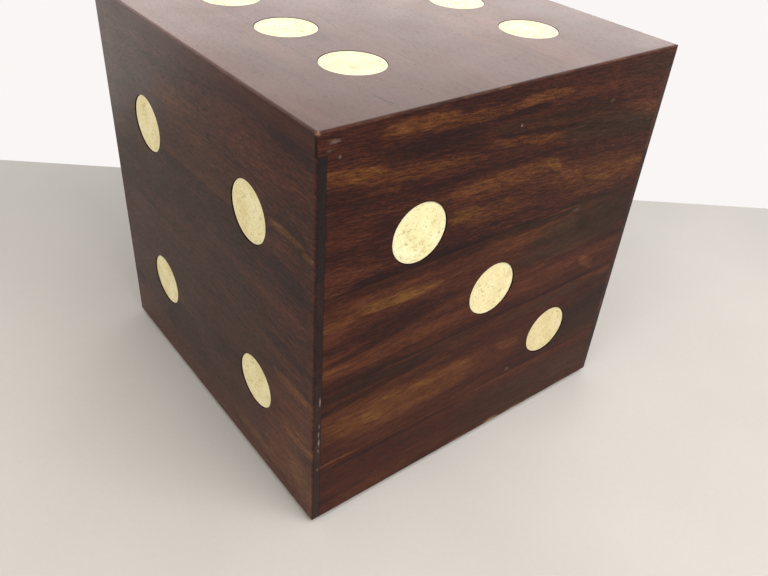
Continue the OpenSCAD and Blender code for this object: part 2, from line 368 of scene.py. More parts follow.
LEFT_STREAKS = [
    ("yellow", -180, 347, 34, 5, 0.0, 0.8),
    ("yellow", -214, 340, 10, 4, 0.0, 0.9),
    ("yellow", -40, 332, 60, 10, 0.0, 0.35),
    ("orange", -190, 172, 40, 8, 0.0, 0.8),
    ("orange", -185, 60, 60, 42, 0.1, 0.4),
    ("yellow", -198, 62, 20, 22, 0.0, 0.35),
    ("orange", -110, 35, 60, 14, 0.1, 0.35),
    ("orange", -195, 110, 40, 14, 0.0, 0.6),
    ("red", -170, 130, 60, 34, 0.0, 0.7),
    ("red", -150, 255, 70, 18, 0.0, 0.5),
    ("red", -130, 405, 110, 26, 0.0, 0.7),
    ("red", -30, 150, 90, 30, 0.0, 0.4),
    ("dark", -190, 352, 30, 16, 0.3, 0.4),
    ("dark", -185, 295, 40, 14, 0.1, 0.5),
    ("dark", -185, 212, 55, 10, 0.0, 0.6),
    ("dark", -190, 425, 40, 10, 0.0, 0.6),
    ("dark", -60, 238, 70, 3, 0.02, 0.4),
    ("grey", 60, 200, 240, 230, 0.0, 0.5),
    ("knot", 204, 72, 14, 12, 0.0, 0.9),
]
TOP_STREAKS = [
    ("dark", -190, -143, 26, 1.5, -0.13, 0.8),
    ("dark", -3, -63, 24, 1.5, 0.09, 0.8),
    ("dark", -60, -31, 25, 1.5, 0.17, 0.8),
    ("red", -120, 90, 120, 14, 0.04, 0.5),
    ("grey", -60, 180, 130, 18, 0.02, 0.5),
]


def streak_shares(graph, along, across, mottle, streaks, low, high):
    """The streaks of each kind that reach the strip from low to high across, with mottled edges."""
    shares = {}
    for kind, middle, up, half_length, half_width, slope, strength in streaks:
        reach = (half_width + abs(slope) * half_length) * MM
        if up * MM + reach < low or up * MM - reach > high:
            continue
        values = {"Along": along, "Across": across, "Middle along": middle * MM, "Middle across": up * MM,
                  "Half length": half_length * MM, "Half width": half_width * MM, "Slope": slope}
        lens = graph.group(STREAK, values).outputs[0]
        mottled = graph.math("MULTIPLY", lens, graph.math("MULTIPLY_ADD", mottle, 3.0, -0.5))
        share = graph.step(mottled, 0.05, 1.1, 0.0, strength)
        shares[kind] = graph.math("MAXIMUM", shares[kind], share) if kind in shares else share
    return shares


def line_at(graph, coordinate, place, half_width):
    """1 on a thin line where the coordinate is at that place, 0 away from it."""
    distance = graph.math("ABSOLUTE", graph.math("SUBTRACT", coordinate, place))
    return graph.step(distance, half_width * 0.4, half_width, 1.0, 0.0)


# Wear starts this far in from an arris, is whole this far in, and is this weak on an upright arris
WEAR_START = 2.2 * MM
WEAR_WHOLE = 0.4 * MM
UPRIGHT_WEAR = 0.04


def wear_share(graph, position):
    """1 on the level arrises of the cube, where the finish has rubbed thin, less on the upright ones."""
    reach = {}
    for axis, low, high in (("X", -HALF, HALF), ("Y", -HALF, HALF), ("Z", BOTTOM, TOP)):
        middle, half = (low + high) / 2, (high - low) / 2
        offset = graph.math("ABSOLUTE", graph.math("SUBTRACT", position[axis], middle))
        reach[axis] = graph.step(offset, half - WEAR_START, half - WEAR_WHOLE)
    level = graph.math("MULTIPLY", reach["Z"], graph.math("MAXIMUM", reach["X"], reach["Y"]))
    upright = graph.math("MULTIPLY", graph.math("MULTIPLY", reach["X"], reach["Y"]), UPRIGHT_WEAR)
    return graph.math("MAXIMUM", level, upright)


def mark_at(graph, point, place, half_size, share):
    """A soft ragged mark at a place in the row frame, with its half size along each axis."""
    ragged = graph.math("MULTIPLY_ADD", graph.noise(point, 1100.0, 3.0, 0.7), 2.0, -1.0)
    offset = graph.vector("DIVIDE", graph.vector("SUBTRACT", point, place), half_size)
    distance = graph.math("ADD", graph.vector("LENGTH", offset), ragged)
    return graph.step(distance, 0.2, 1.1, share, 0.0)


# Colours that a mark shows: bare wood, rubbed arrises, and the white of filler or scuffed finish
BARE = (0.30, 0.155, 0.080)
RUBBED = (0.34, 0.22, 0.13)
SCUFF = (0.42, 0.33, 0.28)
# Rubbed and chipped places of the front, some of them round its edges: where along X and Z, half size
# along X, Y and Z, all in mm, share and colour
MARKS = [
    (-225, 455, (4.5, 4.5, 4), 0.75, BARE),
    (-209, 445, (7, 2, 2.2), 0.20, SCUFF),
    (-204, 431, (2, 2, 2), 0.18, SCUFF),
    (-214, 438, (4, 2, 1.5), 0.10, SCUFF),
    (-217.5, 179, (0.9, 2, 7), 0.65, SCUFF),
    (-218, 146, (0.9, 2, 4), 0.30, SCUFF),
    (-218.5, 135, (1.2, 2, 5), 0.35, SCUFF),
    (-218, 123, (1.3, 2, 6), 0.45, SCUFF),
    (-218.5, 112, (1.0, 2, 4), 0.35, SCUFF),
    (-219, 84, (2, 2, 3), 0.35, BARE),
    (0, 413, (1.6, 2, 1.8), 0.40, SCUFF),
    (132, 412, (5, 2, 3), 0.12, RUBBED),
    (116, 290, (8, 2, 2.5), 0.10, SCUFF),
    (54, 88, (5, 2, 4), 0.18, RUBBED),
    (222, 322, (3, 2, 9), 0.35, RUBBED),
    (222, 355, (3, 2, 5), 0.25, RUBBED),
    (-30, 455, (14, 2, 1.2), 0.5, BARE),
    (120, 455, (22, 2, 1.2), 0.5, BARE),
    (42, 9, (14, 2, 3), 0.6, RUBBED),
    (82, 8, (16, 2, 2.5), 0.4, RUBBED),
    (112, 7, (12, 2, 2), 0.4, RUBBED),
    (170, 8, (22, 2, 2), 0.3, RUBBED),
    (-15, 9, (16, 2, 2), 0.25, BARE),
]


def board_figure(graph, position, board, axes, cut, seed):
    """The figure of one board, from its own place in its own tree."""
    low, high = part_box(board)
    middle = (low + high) / 2
    along, across, deep = (position[axis] for axis in axes)
    shifted = graph.math("ADD", along, seed * BOARD_SHIFT)
    sloped = graph.math("MULTIPLY_ADD", along, -cut.slope, across)
    values = {"Point": graph.combine(shifted, sloped, deep),
              "Pith across": middle["XYZ".index(axes[1])] + cut.across * MM,
              "Pith deep": middle["XYZ".index(axes[2])] + cut.deep * MM}
    return graph.group(FIGURE, values).outputs


def board_streaks(graph, position, figure, board, axes, streaks):
    """The shares of the streaks on one board, which follow the same waver as its rings."""
    low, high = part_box(board)
    across_axis = "XYZ".index(axes[1])
    wavering = graph.math("ADD", position[axes[1]], graph.math("MULTIPLY", figure["Waver"], 0.55))
    wavering = graph.math("ADD", wavering, graph.math("MULTIPLY", figure["Tone"], 0.010))
    return streak_shares(graph, position[axes[0]], wavering, figure["Mottle"], streaks,
                         low[across_axis], high[across_axis])


def board_level(graph, figure, shares, cut):
    """How light the wood is, from 0 to 1."""
    level = graph.math("MULTIPLY_ADD", figure["Tone"], cut.contrast, MIDDLE_LEVEL + cut.tone)
    level = graph.math("MULTIPLY_ADD", figure["Fine"], cut.fine, level)
    for kind, share in shares.items():
        level = graph.math("ADD", level, graph.math("MULTIPLY", share, LIFTS[kind]))
    pores = graph.math("MULTIPLY", figure["Pore"], 0.16 * cut.fine)
    return graph.math("SUBTRACT", level, pores, clamp=True)


def board_colour(graph, figure, level, shares, axes, cut):
    """The colour of the wood: its palette, its streaks, its stain and its end grain."""
    glow = graph.math("MULTIPLY", figure["Glow"], 0.45)
    orange = graph.math("MAXIMUM", shares["orange"], glow) if "orange" in shares else glow
    shares = {**shares, "orange": orange}
    colour = graph.ramp(level, BROWN)
    for kind, palette in PALETTES.items():
        if kind in shares:
            colour = graph.mix(shares[kind], colour, graph.ramp(level, palette))
    colour = graph.mix(cut.stain, colour, STAIN, "ADD")

    # End grain drinks more of the finish, so the ends of most boards are darker and greyer
    normal = graph.add("ShaderNodeNewGeometry").outputs["Normal"]
    facing = graph.math("ABSOLUTE", graph.separate(normal)[axes[0]])
    end = graph.step(facing, 0.55, 0.9)
    dark = graph.mix(0.7, graph.ramp(level, GREY), OPEN_GRAIN)
    return graph.mix(graph.math("MULTIPLY", end, cut.end), colour, dark)


def joint_lines(graph, position, joints):
    """How strongly a glued joint shows, from 0 to 1."""
    groove = 0.0
    for axis, place, share in joints:
        line = graph.math("MULTIPLY", line_at(graph, position[axis], place, JOINT_HALF_WIDTH), share)
        groove = line if groove == 0.0 else graph.math("MAXIMUM", groove, line)
    return groove


def hardwood(name, board, axes, cut, seed, streaks=(), joints=(), marks=()):
    """The dark hardwood of one board, with its own figure.

    axes names the row-frame axes along, across and through the board, cut says how it was sawn, streaks
    and marks are lists like those above, and joints lists (axis, place, share) of the glued joints that
    show as a thin line.
    """
    material, graph, shader = new_material(name)
    point, position = row_position(graph)
    figure = board_figure(graph, position, board, axes, cut, seed)
    shares = board_streaks(graph, position, figure, board, axes, streaks)
    level = board_level(graph, figure, shares, cut)
    colour = board_colour(graph, figure, level, shares, axes, cut)
    groove = joint_lines(graph, position, joints)
    if joints:
        colour = graph.mix(groove, colour, JOINT)

    patchy = graph.step(graph.noise(point, 48.0, 4.0, 0.65), 0.46, 0.66, 0.03, 0.42)
    wear = graph.math("MULTIPLY", wear_share(graph, position), patchy)
    colour = graph.mix(wear, colour, WORN)
    for along, up, half_size, share, paint in marks:
        place = (along * MM, -HALF, up * MM)
        mark = mark_at(graph, point, place, [half * MM for half in half_size], share)
        colour = graph.mix(mark, colour, paint)

    smudge = graph.noise(point, 14.0, 3.0)
    roughness = graph.math("MULTIPLY_ADD", smudge, 0.14, 0.27)
    roughness = graph.math("MULTIPLY_ADD", figure["Pore"], 0.12, roughness)
    roughness = graph.math("MULTIPLY_ADD", wear, 0.2, roughness, clamp=True)
    height = graph.math("SUBTRACT", graph.math("MULTIPLY", figure["Fibre"], 0.35), figure["Pore"])
    if joints:
        height = graph.math("SUBTRACT", height, graph.math("MULTIPLY", groove, 3.0))
    connect(graph, shader, colour, roughness, height, 0.35, 0.05 * MM)
    shader.inputs["IOR"].default_value = LACQUER_IOR
    shader.inputs["Specular IOR Level"].default_value = cut.gloss
    return material


def clothe(node, material):
    """Gives a CAD node its material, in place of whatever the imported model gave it."""
    mesh = NODES[node].data
    mesh.materials.clear()
    mesh.materials.append(material)


# How a board was sawn: where the middle of the tree lies from the board's own middle, across and deep in
# mm, how much lighter it is than the rest, how strong its bands and its fine strokes are, how far its grain
# runs out of level, how dark its ends are, how much red stain it has taken, and how its finish shines
Cut = namedtuple("Cut", "across deep tone contrast fine slope end stain gloss",
                 defaults=(1.0, 1.0, 0.0, 0.8, 0.0, 0.11))
# The face with three spots is redder than the rest, and its finish duller
FRONT = {"stain": 0.8, "gloss": 0.05}
# The boards of each face, from the bottom up, or from left to right on the top
BOARD_CUTS = {
    "front": [Cut(30, 150, 0.02, 0.7, 0.55, **FRONT), Cut(-40, 110, 0.03, 0.7, 0.6, 0.03, **FRONT),
              Cut(60, 170, -0.03, 0.8, 0.7, 0.02, **FRONT), Cut(-20, 140, -0.02, 0.8, 1.0, -0.08, **FRONT)],
    "left": [Cut(50, 130, 0.20, 0.65, 1.0, 0.0, 0.85), Cut(-70, 160, 0.15, 0.65, 1.0, 0.0, 0.75),
             Cut(20, 120, 0.12, 0.65, 1.0, 0.0, 0.8), Cut(-30, 180, 0.06, 0.65, 1.0, 0.0, 1.0)],
    "back": [Cut(-60, -140, 0.02), Cut(35, -170, -0.02), Cut(-20, -110, 0.05), Cut(45, -150, 0.0)],
    "right": [Cut(40, -120, 0.0, 1.0, 1.0, 0.0, 0.3), Cut(-50, -160, 0.04, 1.0, 1.0, 0.0, 0.3),
              Cut(25, -180, -0.02, 1.0, 1.0, 0.0, 0.4), Cut(-35, -130, 0.03, 1.0, 1.0, 0.0, 0.4)],
    "top": [Cut(30, -140, 0.04, 0.4, 0.25), Cut(-45, -110, 0.05, 0.4, 0.25), Cut(20, -170, 0.03, 0.4, 0.25),
            Cut(-30, -130, 0.05, 0.4, 0.25), Cut(50, -150, 0.04, 0.4, 0.25)],
}
FACE_AXES = {"front": ALONG_X, "back": ALONG_X, "left": ALONG_Y, "right": ALONG_Y, "top": TOP_ALONG_Y}
FACE_STREAKS = {"front": FRONT_STREAKS, "left": LEFT_STREAKS, "top": TOP_STREAKS}
# How strongly a joint shows: between two boards, under the top, and at the corners of the cube
BOARD_JOINT = 0.5
TOP_JOINT = 0.2
CORNER_JOINT = 0.6


def clothe_boards():
    """Each board of the five outer faces gets its own piece of hardwood."""
    for turn, (face, cuts) in enumerate(BOARD_CUTS.items()):
        axes = FACE_AXES[face]
        across_axis = "XYZ".index(axes[1])
        along_axis = "XYZ".index(axes[0])
        for number, cut in enumerate(cuts, start=1):
            board = f"{face}_board_{number}"
            low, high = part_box(board)
            joints = []
            if number > 1:
                joints.append((axes[1], low[across_axis], BOARD_JOINT))
            if number < len(cuts):
                joints.append((axes[1], high[across_axis], BOARD_JOINT))
            elif face != "top":
                joints.append((axes[1], high[across_axis], TOP_JOINT))
            if face in ("front", "back", "top"):
                joints += [(axes[0], end[along_axis], CORNER_JOINT) for end in (low, high)]
            marks = MARKS if face in ("front", "left", "top") else ()
            material = hardwood(f"hardwood_{board}", board, axes, cut, turn * 5 + number,
                                FACE_STREAKS.get(face, ()), joints, marks)
            clothe(board, material)
    for turn, face in ((0, "front"), (2, "back")):
        # The strip along the edge of the top is cut from the same plank as the board below it
        board = f"{face}_board_4"
        edge = [("Z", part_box(board)[1].z, TOP_JOINT)]
        material = hardwood(f"hardwood_top_{face}_strip", board, ALONG_X, BOARD_CUTS[face][3], turn * 5 + 4,
                            FACE_STREAKS.get(face, ()), edge, MARKS if face == "front" else ())
        clothe(f"top_{face}_strip", material)


# ---------------------------------------------------------------- plywood, softwood, metal, plastic

# Face veneer and softwood from their darkest to their lightest wood, and the layers at a plywood edge
VENEER = [(0.25, (0.055, 0.030, 0.016)), (0.5, (0.115, 0.066, 0.034)), (0.8, (0.20, 0.125, 0.068))]
SOFTWOOD = [(0.1, (0.26, 0.125, 0.045)), (0.5, (0.50, 0.30, 0.13)), (0.9, (0.64, 0.43, 0.21))]
DARK_LAYER = (0.10, 0.055, 0.028)
LIGHT_LAYER = (0.24, 0.155, 0.085)


def plywood():
    """The base panel: a brown-stained face veneer, with the layers showing at its edges."""
    material, graph, shader = new_material("stained_plywood")
    point, position = row_position(graph)
    stretched = graph.vector("MULTIPLY", point, (4.0, 110.0, 8.0))
    waver = graph.noise(graph.vector("MULTIPLY", point, (3.0, 9.0, 3.0)), 1.0, 2.0)
    bent = graph.vector("ADD", stretched, graph.combine(0.0, graph.math("MULTIPLY", waver, 6.0), 0.0))
    veneer = graph.noise(bent, 1.0, 5.0)
    fibre = graph.noise(graph.vector("MULTIPLY", point, (30.0, 900.0, 900.0)), 1.0, 2.0)
    level = graph.blend(veneer, 0.75, fibre, 0.3, clamp=True)
    colour = graph.ramp(level, VENEER)
    layers = graph.math("SINE", graph.math("MULTIPLY", position["Z"], 2100.0))
    normal = graph.separate(graph.add("ShaderNodeNewGeometry").outputs["Normal"])
    edge = graph.step(graph.math("ABSOLUTE", normal["Z"]), 0.3, 0.7, 1.0, 0.0)
    layered = graph.mix(graph.step(layers, -0.3, 0.3), DARK_LAYER, LIGHT_LAYER)
    colour = graph.mix(edge, colour, layered)
    roughness = graph.math("ADD", graph.math("MULTIPLY", veneer, 0.2), 0.55)
    connect(graph, shader, colour, roughness, fibre, 0.3, 0.05 * MM)
    return material


def softwood(name, axes, seed):
    """Planed softwood of the posts and cleats inside, with straight rings along the grain."""
    material, graph, shader = new_material(name)
    point, position = row_position(graph)
    along, across, deep = (position[axis] for axis in axes)
    place = graph.combine(graph.math("MULTIPLY", graph.math("ADD", along, seed * 0.7), 2.0),
                          graph.math("MULTIPLY", across, 9.0), graph.math("MULTIPLY", deep, 9.0))
    waver = graph.math("MULTIPLY", graph.noise(place, 1.0, 2.0), 0.03)
    ring = graph.math("ADD", graph.math("ADD", across, graph.math("MULTIPLY", deep, 0.4)), waver)
    rings = graph.math("SINE", graph.math("MULTIPLY", ring, 1500.0))
    strands = graph.vector("MULTIPLY", graph.combine(along, across, deep), (40.0, 900.0, 900.0))
    fibre = graph.noise(strands, 1.0, 2.0)
    level = graph.blend(rings, 0.22, fibre, 0.9, clamp=True)
    colour = graph.ramp(level, SOFTWOOD)
    roughness = graph.math("ADD", graph.math("MULTIPLY", fibre, 0.2), 0.5)
    connect(graph, shader, colour, roughness, level, 0.3, 0.05 * MM)
    return material


# The dull and the bright patches of each metal, and the plastic of the glides when new and when scuffed
ZINC = ((0.36, 0.35, 0.31), (0.62, 0.62, 0.60))
STEEL = ((0.30, 0.29, 0.28), (0.56, 0.55, 0.53))
PLASTIC = ((0.020, 0.016, 0.014), (0.19, 0.17, 0.15))


def metal(name, dark, light, scratch):
    """Plated steel, dulled in patches and finely scratched."""
    material, graph, shader = new_material(name)
    point, _ = row_position(graph)
    dull = graph.noise(point, 420.0, 3.0)
    scratches = graph.noise(graph.vector("MULTIPLY", point, (300.0, 4200.0, 900.0)), 1.0, 2.0)
    colour = graph.mix(graph.step(dull, 0.35, 0.7), light, dark)
    roughness = graph.blend(dull, 0.3, scratches, scratch)
    connect(graph, shader, colour, roughness, scratches, 0.2, 0.02 * MM)
    shader.inputs["Metallic"].default_value = 1.0
    return material


def plastic():
    """Dark moulded plastic of the glides, scuffed pale on the sole."""
    material, graph, shader = new_material("moulded_plastic")
    point, position = row_position(graph)
    grain = graph.noise(point, 1600.0, 2.0)
    scuffs = graph.noise(graph.vector("MULTIPLY", point, (180.0, 1500.0, 600.0)), 1.0, 3.0)
    sole = graph.step(position["Z"], 0.3 * MM, 1.2 * MM, 1.0, 0.0)
    exposed = graph.math("MULTIPLY_ADD", sole, 0.7, 0.1)
    worn = graph.math("MULTIPLY", graph.step(scuffs, 0.5, 0.7), exposed)
    colour = graph.mix(worn, *PLASTIC)
    roughness = graph.math("ADD", graph.blend(grain, 0.15, worn, 0.3), 0.35)
    connect(graph, shader, colour, roughness, grain, 0.25, 0.03 * MM)
    return material


def clothe_inner_parts():
    """Base, posts, cleats, fasteners and glides."""
    clothe("base_panel", plywood())
    posts = softwood("softwood_upright", UPRIGHT, 1)
    along_x = softwood("softwood_along_x", TOP_ALONG_X, 2)
    along_y = softwood("softwood_along_y", TOP_ALONG_Y, 3)
    for number in range(1, 5):
        clothe(f"corner_post_{number}", posts)
        for kind in ("top", "base"):
            node = f"{kind}_cleat_{number}"
            low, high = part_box(node)
            clothe(node, along_x if high.x - low.x > high.y - low.y else along_y)
    clothe("wood_screws", metal("zinc_plate", *ZINC, 0.22))
    clothe("glide_nails", metal("bright_steel", *STEEL, 0.3))
    clothe("glides", plastic())


# ---------------------------------------------------------------- the inlaid discs

# Cream stone from its duller clouds to its lighter ones
CREAM = [(0.3, (0.74, 0.65, 0.355)), (0.5, (0.815, 0.735, 0.43)), (0.7, (0.86, 0.80, 0.53))]
VEIN = (0.55, 0.42, 0.15)
FLECK = (0.42, 0.34, 0.13)
PIT = (0.40, 0.31, 0.12)
# The pale ring painted round each disc's edge: a painted highlight on the rounded rim
PAINTED_RIM_HIGHLIGHT = (0.84, 0.78, 0.55)
STONE_GLOSS = 0.08
# Discs painted lighter or duller than the rest, as painted light and shade falling off from the upper left
# disc of the front to its lower right one: how much, in red, green and blue
DISC_PAINTED_LIGHT_AND_SHADE = {"front_pip_1": (1.02, 1.08, 1.10), "front_pip_3": (0.89, 0.85, 0.81)}


def stone(name, painted_light_and_shade=(1.0, 1.0, 1.0)):
    """Cream stone of the discs: cloudy, with ochre and olive specks, and darker in its pits. For some discs
    its colours are scaled as painted light and shade, and a paler ring round its rim is a painted
    highlight.
    """
    material, graph, shader = new_material(name)
    point, _ = row_position(graph)
    pit = graph.add("ShaderNodeAttribute", attribute_name="pit").outputs["Fac"]
    rim = graph.add("ShaderNodeAttribute", attribute_name="rim").outputs["Fac"]
    cloud = graph.noise(point, 45.0, 3.0)
    # Painted light and shade: the cream is scaled lighter or darker for this disc
    cream_with_painted_light_and_shade = [(place, tuple(c * share for c, share in zip(colour, painted_light_and_shade))) for place, colour in CREAM]
    colour = graph.ramp(cloud, cream_with_painted_light_and_shade)
    vein = graph.noise(graph.vector("ADD", point, (0.3, 0.1, 0.7)), 190.0, 4.0, 0.65)
    colour = graph.mix(graph.step(vein, 0.55, 0.70, 0.0, 0.55), colour, VEIN)
    fleck = graph.noise(point, 620.0, 2.0)
    crowd = graph.step(graph.noise(point, 60.0, 2.0), 0.40, 0.62, 0.15, 1.0)
    flecks = graph.math("MULTIPLY", graph.step(fleck, 0.60, 0.70), crowd)
    colour = graph.mix(graph.math("MULTIPLY", flecks, 0.45), colour, FLECK)
    colour = graph.mix(graph.math("MULTIPLY", pit, 0.7), colour, PIT)
    # A paler ring round the edge: a painted highlight on the rounded rim
    colour = graph.mix(graph.math("MULTIPLY", rim, 0.5), colour, PAINTED_RIM_HIGHLIGHT)
    roughness = graph.math("ADD", graph.blend(cloud, 0.2, pit, 0.3), 0.28)
    height = graph.math("SUBTRACT", cloud, flecks)
    connect(graph, shader, colour, roughness, height, 0.3, 0.08 * MM)
    shader.inputs["Specular IOR Level"].default_value = STONE_GLOSS
    return material


# Squares across the face of a disc, and steps round its rim
DISC_GRID = 76
RIM_STEPS = 4
RIM_RADIUS = 0.8 * MM
PIT_DEPTH = 0.4 * MM
# How far in from the flat's edge the pits are whole, and the painted highlight round the rim ends
PIT_MARGIN = 1.5 * MM
RIM_MARGIN = 2.2 * MM
SHARP_ANGLE = math.radians(50)


def square_to_disc(x, y):
    """A point of the square from -1 to 1 moved to the round disc, keeping the grid of squares whole."""
    return x * math.sqrt(1 - y * y / 2), y * math.sqrt(1 - x * x / 2)


def pit_share(place):
    """How deep the stone is pitted at a place, from 0 to 1."""
    coarse = noise.noise(place * 300.0)
    fine = noise.noise(place * 850.0)
    crowd = noise.noise(place * 55.0)
    share = (coarse * 0.75 + fine * 0.75 + crowd * 0.25 - 0.42) / 0.22
    return min(max(share, 0.0), 1.0)


def disc_place(node):
    """The middle of a disc's face, the ways outwards and sideways from it, its radius and thickness."""
    low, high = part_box(node)
    middle = (low + high) / 2
    size = high - low
    axis = min(range(3), key=lambda i: size[i])
    body_middle = Vector((0.0, 0.0, (BOTTOM + TOP) / 2))
    outward = Vector((0.0, 0.0, 0.0))
    outward[axis] = 1.0 if middle[axis] > body_middle[axis] else -1.0
    side = Vector((0.0, 0.0, 0.0))
    side[(axis + 1) % 3] = 1.0
    radius = size[(axis + 1) % 3] / 2
    thickness = size[axis]
    return middle + outward * thickness / 2, outward, side, radius, thickness


def rim_profile(flat_radius, radius, thickness):
    """(radius, depth) from just outside the flat, round the rim and down the wall to the back."""
    profile = []
    for step in range(1, RIM_STEPS + 1):
        turn = math.pi / 2 * step / RIM_STEPS
        profile.append((flat_radius + RIM_RADIUS * math.sin(turn), RIM_RADIUS * (1 - math.cos(turn))))
    profile.append((radius, thickness))
    return profile


def disc_mesh(name, centre, outward, side, radius, thickness):
    """A pitted face on a grid of squares, a softened rim, a straight wall and a flat back."""
    rise = outward.cross(side)
    flat_radius = radius - RIM_RADIUS
    verts, pits, rim_highlight_shares, faces = [], [], [], []

    def add_point(across, up, depth, pit, rim):
        verts.append(centre + side * across + rise * up - outward * depth)
        pits.append(pit)
        rim_highlight_shares.append(rim)
        return len(verts) - 1

    grid = []
    for j in range(DISC_GRID + 1):
        row = []
        for i in range(DISC_GRID + 1):
            x, y = square_to_disc(2 * i / DISC_GRID - 1, 2 * j / DISC_GRID - 1)
            across, up = x * flat_radius, y * flat_radius
            from_rim = flat_radius - math.hypot(across, up)
            fade = min(1.0, from_rim / PIT_MARGIN)
            pit = pit_share(centre + side * across + rise * up) * fade
            # The last share is the painted highlight of the rim, fading in towards the edge
            row.append(add_point(across, up, pit * PIT_DEPTH, pit, 1.0 - min(1.0, from_rim / RIM_MARGIN)))
        grid.append(row)
    for j in range(DISC_GRID):
        for i in range(DISC_GRID):
            faces.append((grid[j][i], grid[j][i + 1], grid[j + 1][i + 1], grid[j + 1][i]))

    # The edge of the grid, once round, then the rounded rim, the wall and the back
    last = DISC_GRID
    loop = [grid[0][i] for i in range(last)] + [grid[j][last] for j in range(last)]
    loop += [grid[last][i] for i in range(last, 0, -1)] + [grid[j][0] for j in range(last, 0, -1)]
    angles = []
    for index in loop:
        offset = verts[index] - centre
        angles.append(math.atan2(offset.dot(rise), offset.dot(side)))
    for ring_radius, depth in rim_profile(flat_radius, radius, thickness):
        ring = []
        for angle in angles:
            across, up = ring_radius * math.cos(angle), ring_radius * math.sin(angle)
            # The rim and wall carry the whole painted highlight
            ring.append(add_point(across, up, depth, 0.0, 1.0))
        for k in range(len(loop)):
            after = (k + 1) % len(loop)
            faces.append((loop[k], ring[k], ring[after], loop[after]))
        loop = ring
    faces.append(tuple(reversed(loop)))

    mesh = bpy.data.meshes.new(name)
    mesh.from_pydata(verts, [], faces)
    mesh.validate()
    # The rim attribute holds the share of the painted highlight round the disc's edge
    for attribute, values in (("pit", pits), ("rim", rim_highlight_shares)):
        mesh.attributes.new(attribute, "FLOAT", "POINT").data.foreach_set("value", values)
    mesh.polygons.foreach_set("use_smooth", [True] * len(mesh.polygons))
    mesh.set_sharp_from_angle(angle=SHARP_ANGLE)
    return mesh


def disc_piece(node, material):
    """One inlaid stone disc, in place of its plain CAD node."""
    mesh = disc_mesh(node + "_stone", *disc_place(node))
    mesh.materials.append(material)
    piece = bpy.data.objects.new(node + "_stone", mesh)
    bpy.context.scene.collection.objects.link(piece)
    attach(piece, "root")
    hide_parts(node)
    return piece


def inlay_discs():
    """All the discs, most of them of one stone material; two front discs get copies of it with painted
    light and shade.
    """
    plain = stone("cream_stone")
    for node in sorted(NODES):
        if "_pip" not in node:
            continue
        # Two front discs get their own copy of the stone with painted light and shade
        painted_light_and_shade = DISC_PAINTED_LIGHT_AND_SHADE.get(node)
        disc_piece(node, stone(f"cream_stone_painted_light_and_shade_{node}", painted_light_and_shade) if painted_light_and_shade else plain)


# ---------------------------------------------------------------- stage, light and camera

# The backdrop stands behind the object as seen by the camera: its distance from the origin and heading
WALL_DISTANCE = 0.473
WALL_HEADING = math.radians(38.07)
FLOOR_HALF = 7.0
WALL_HALF = 3.5
WALL_HEIGHT = 2.4
# A round wall far off on all sides closes the view from any other angle
ROUND_RADIUS = 6.0
ROUND_HEIGHT = 5.0
ROUND_SIDES = 96
# Pale concrete, the light of the walls, and the warm light of the panel, low down and high up
CONCRETE = [(0.3, (0.490, 0.477, 0.460)), (0.7, (0.568, 0.552, 0.532))]
FLOOR_GLOSS = 0.06
WALL_COLOUR = (1.0, 0.965, 0.955)
WALL_STRENGTH = 0.955
PANEL_LOW = (1.0, 0.96, 0.89)
PANEL_HIGH = (1.0, 0.90, 0.86)


def stage_mesh(name, points, faces, material):
    """A piece of the stage, which isn't part of the object."""
    mesh = bpy.data.meshes.new(name)
    mesh.from_pydata(points, [], faces)
    mesh.materials.append(material)
    plane = bpy.data.objects.new(name, mesh)
    bpy.context.scene.collection.objects.link(plane)
    return plane


def stage_plane(name, corners, material):
    return stage_mesh(name, corners, [tuple(range(len(corners)))], material)


def round_wall(material):
    """A many-sided ring of wall round the whole stage, its faces turned inwards."""
    points = []
    for step in range(ROUND_SIDES):
        turn = 2 * math.pi * step / ROUND_SIDES
        foot = Vector((math.cos(turn), math.sin(turn), 0.0)) * ROUND_RADIUS
        points += [foot, foot + Vector((0.0, 0.0, ROUND_HEIGHT))]
    faces = []
    for step in range(ROUND_SIDES):
        here, after = 2 * step, 2 * ((step + 1) % ROUND_SIDES)
        faces.append((here, here + 1, after + 1, after))
    return stage_mesh("stage_round_wall", points, faces, material)


def floor_material():
    """Plain pale concrete, faintly mottled."""
    material, graph, shader = new_material("stage_floor")
    point, _ = row_position(graph)
    mottle = graph.noise(point, 2.2, 4.0)
    grit = graph.noise(point, 160.0, 2.0)
    level = graph.blend(mottle, 0.85, grit, 0.15)
    colour = graph.ramp(level, CONCRETE)
    roughness = graph.math("ADD", graph.math("MULTIPLY", mottle, 0.2), 0.42)
    connect(graph, shader, colour, roughness, grit, 0.1, 0.2 * MM)
    shader.inputs["Specular IOR Level"].default_value = FLOOR_GLOSS
    return material


def glowing(name, colour, strength):
    """Plain light from the side towards the object, and nothing from behind.

    colour and strength are fixed, or functions that make them from the graph and the place on the plane.
    """
    material = bpy.data.materials.new(name)
    material.use_nodes = True
    tree = material.node_tree
    tree.nodes.clear()
    graph = Graph(tree)
    behind = graph.add("ShaderNodeNewGeometry").outputs["Backfacing"]
    _, position = row_position(graph)
    colour = colour(graph, position) if callable(colour) else (*colour, 1.0)
    strength = strength(graph, position) if callable(strength) else strength
    light = graph.add("ShaderNodeEmission", {"Color": colour, "Strength": strength})
    clear = graph.add("ShaderNodeBsdfTransparent")
    both = graph.add("ShaderNodeMixShader", {0: behind, 1: light.outputs[0], 2: clear.outputs[0]})
    output = graph.add("ShaderNodeOutputMaterial")
    tree.links.new(both.outputs[0], output.inputs[0])
    return material


def panel_colour(graph, position):
    """Warmer with height."""
    return graph.mix(graph.step(position["Z"], 0.3, 0.5), PANEL_LOW, PANEL_HIGH)


def panel_strength(graph, position):
    """The panel mirrored in the finish: dim below, bright above the top of the cube, then falling off."""
    rise = graph.step(position["Z"], 0.36, 0.47, 1.75, 4.7)
    return graph.math("MULTIPLY", rise, graph.step(position["Z"], 0.5, 0.95, 1.0, 0.72))


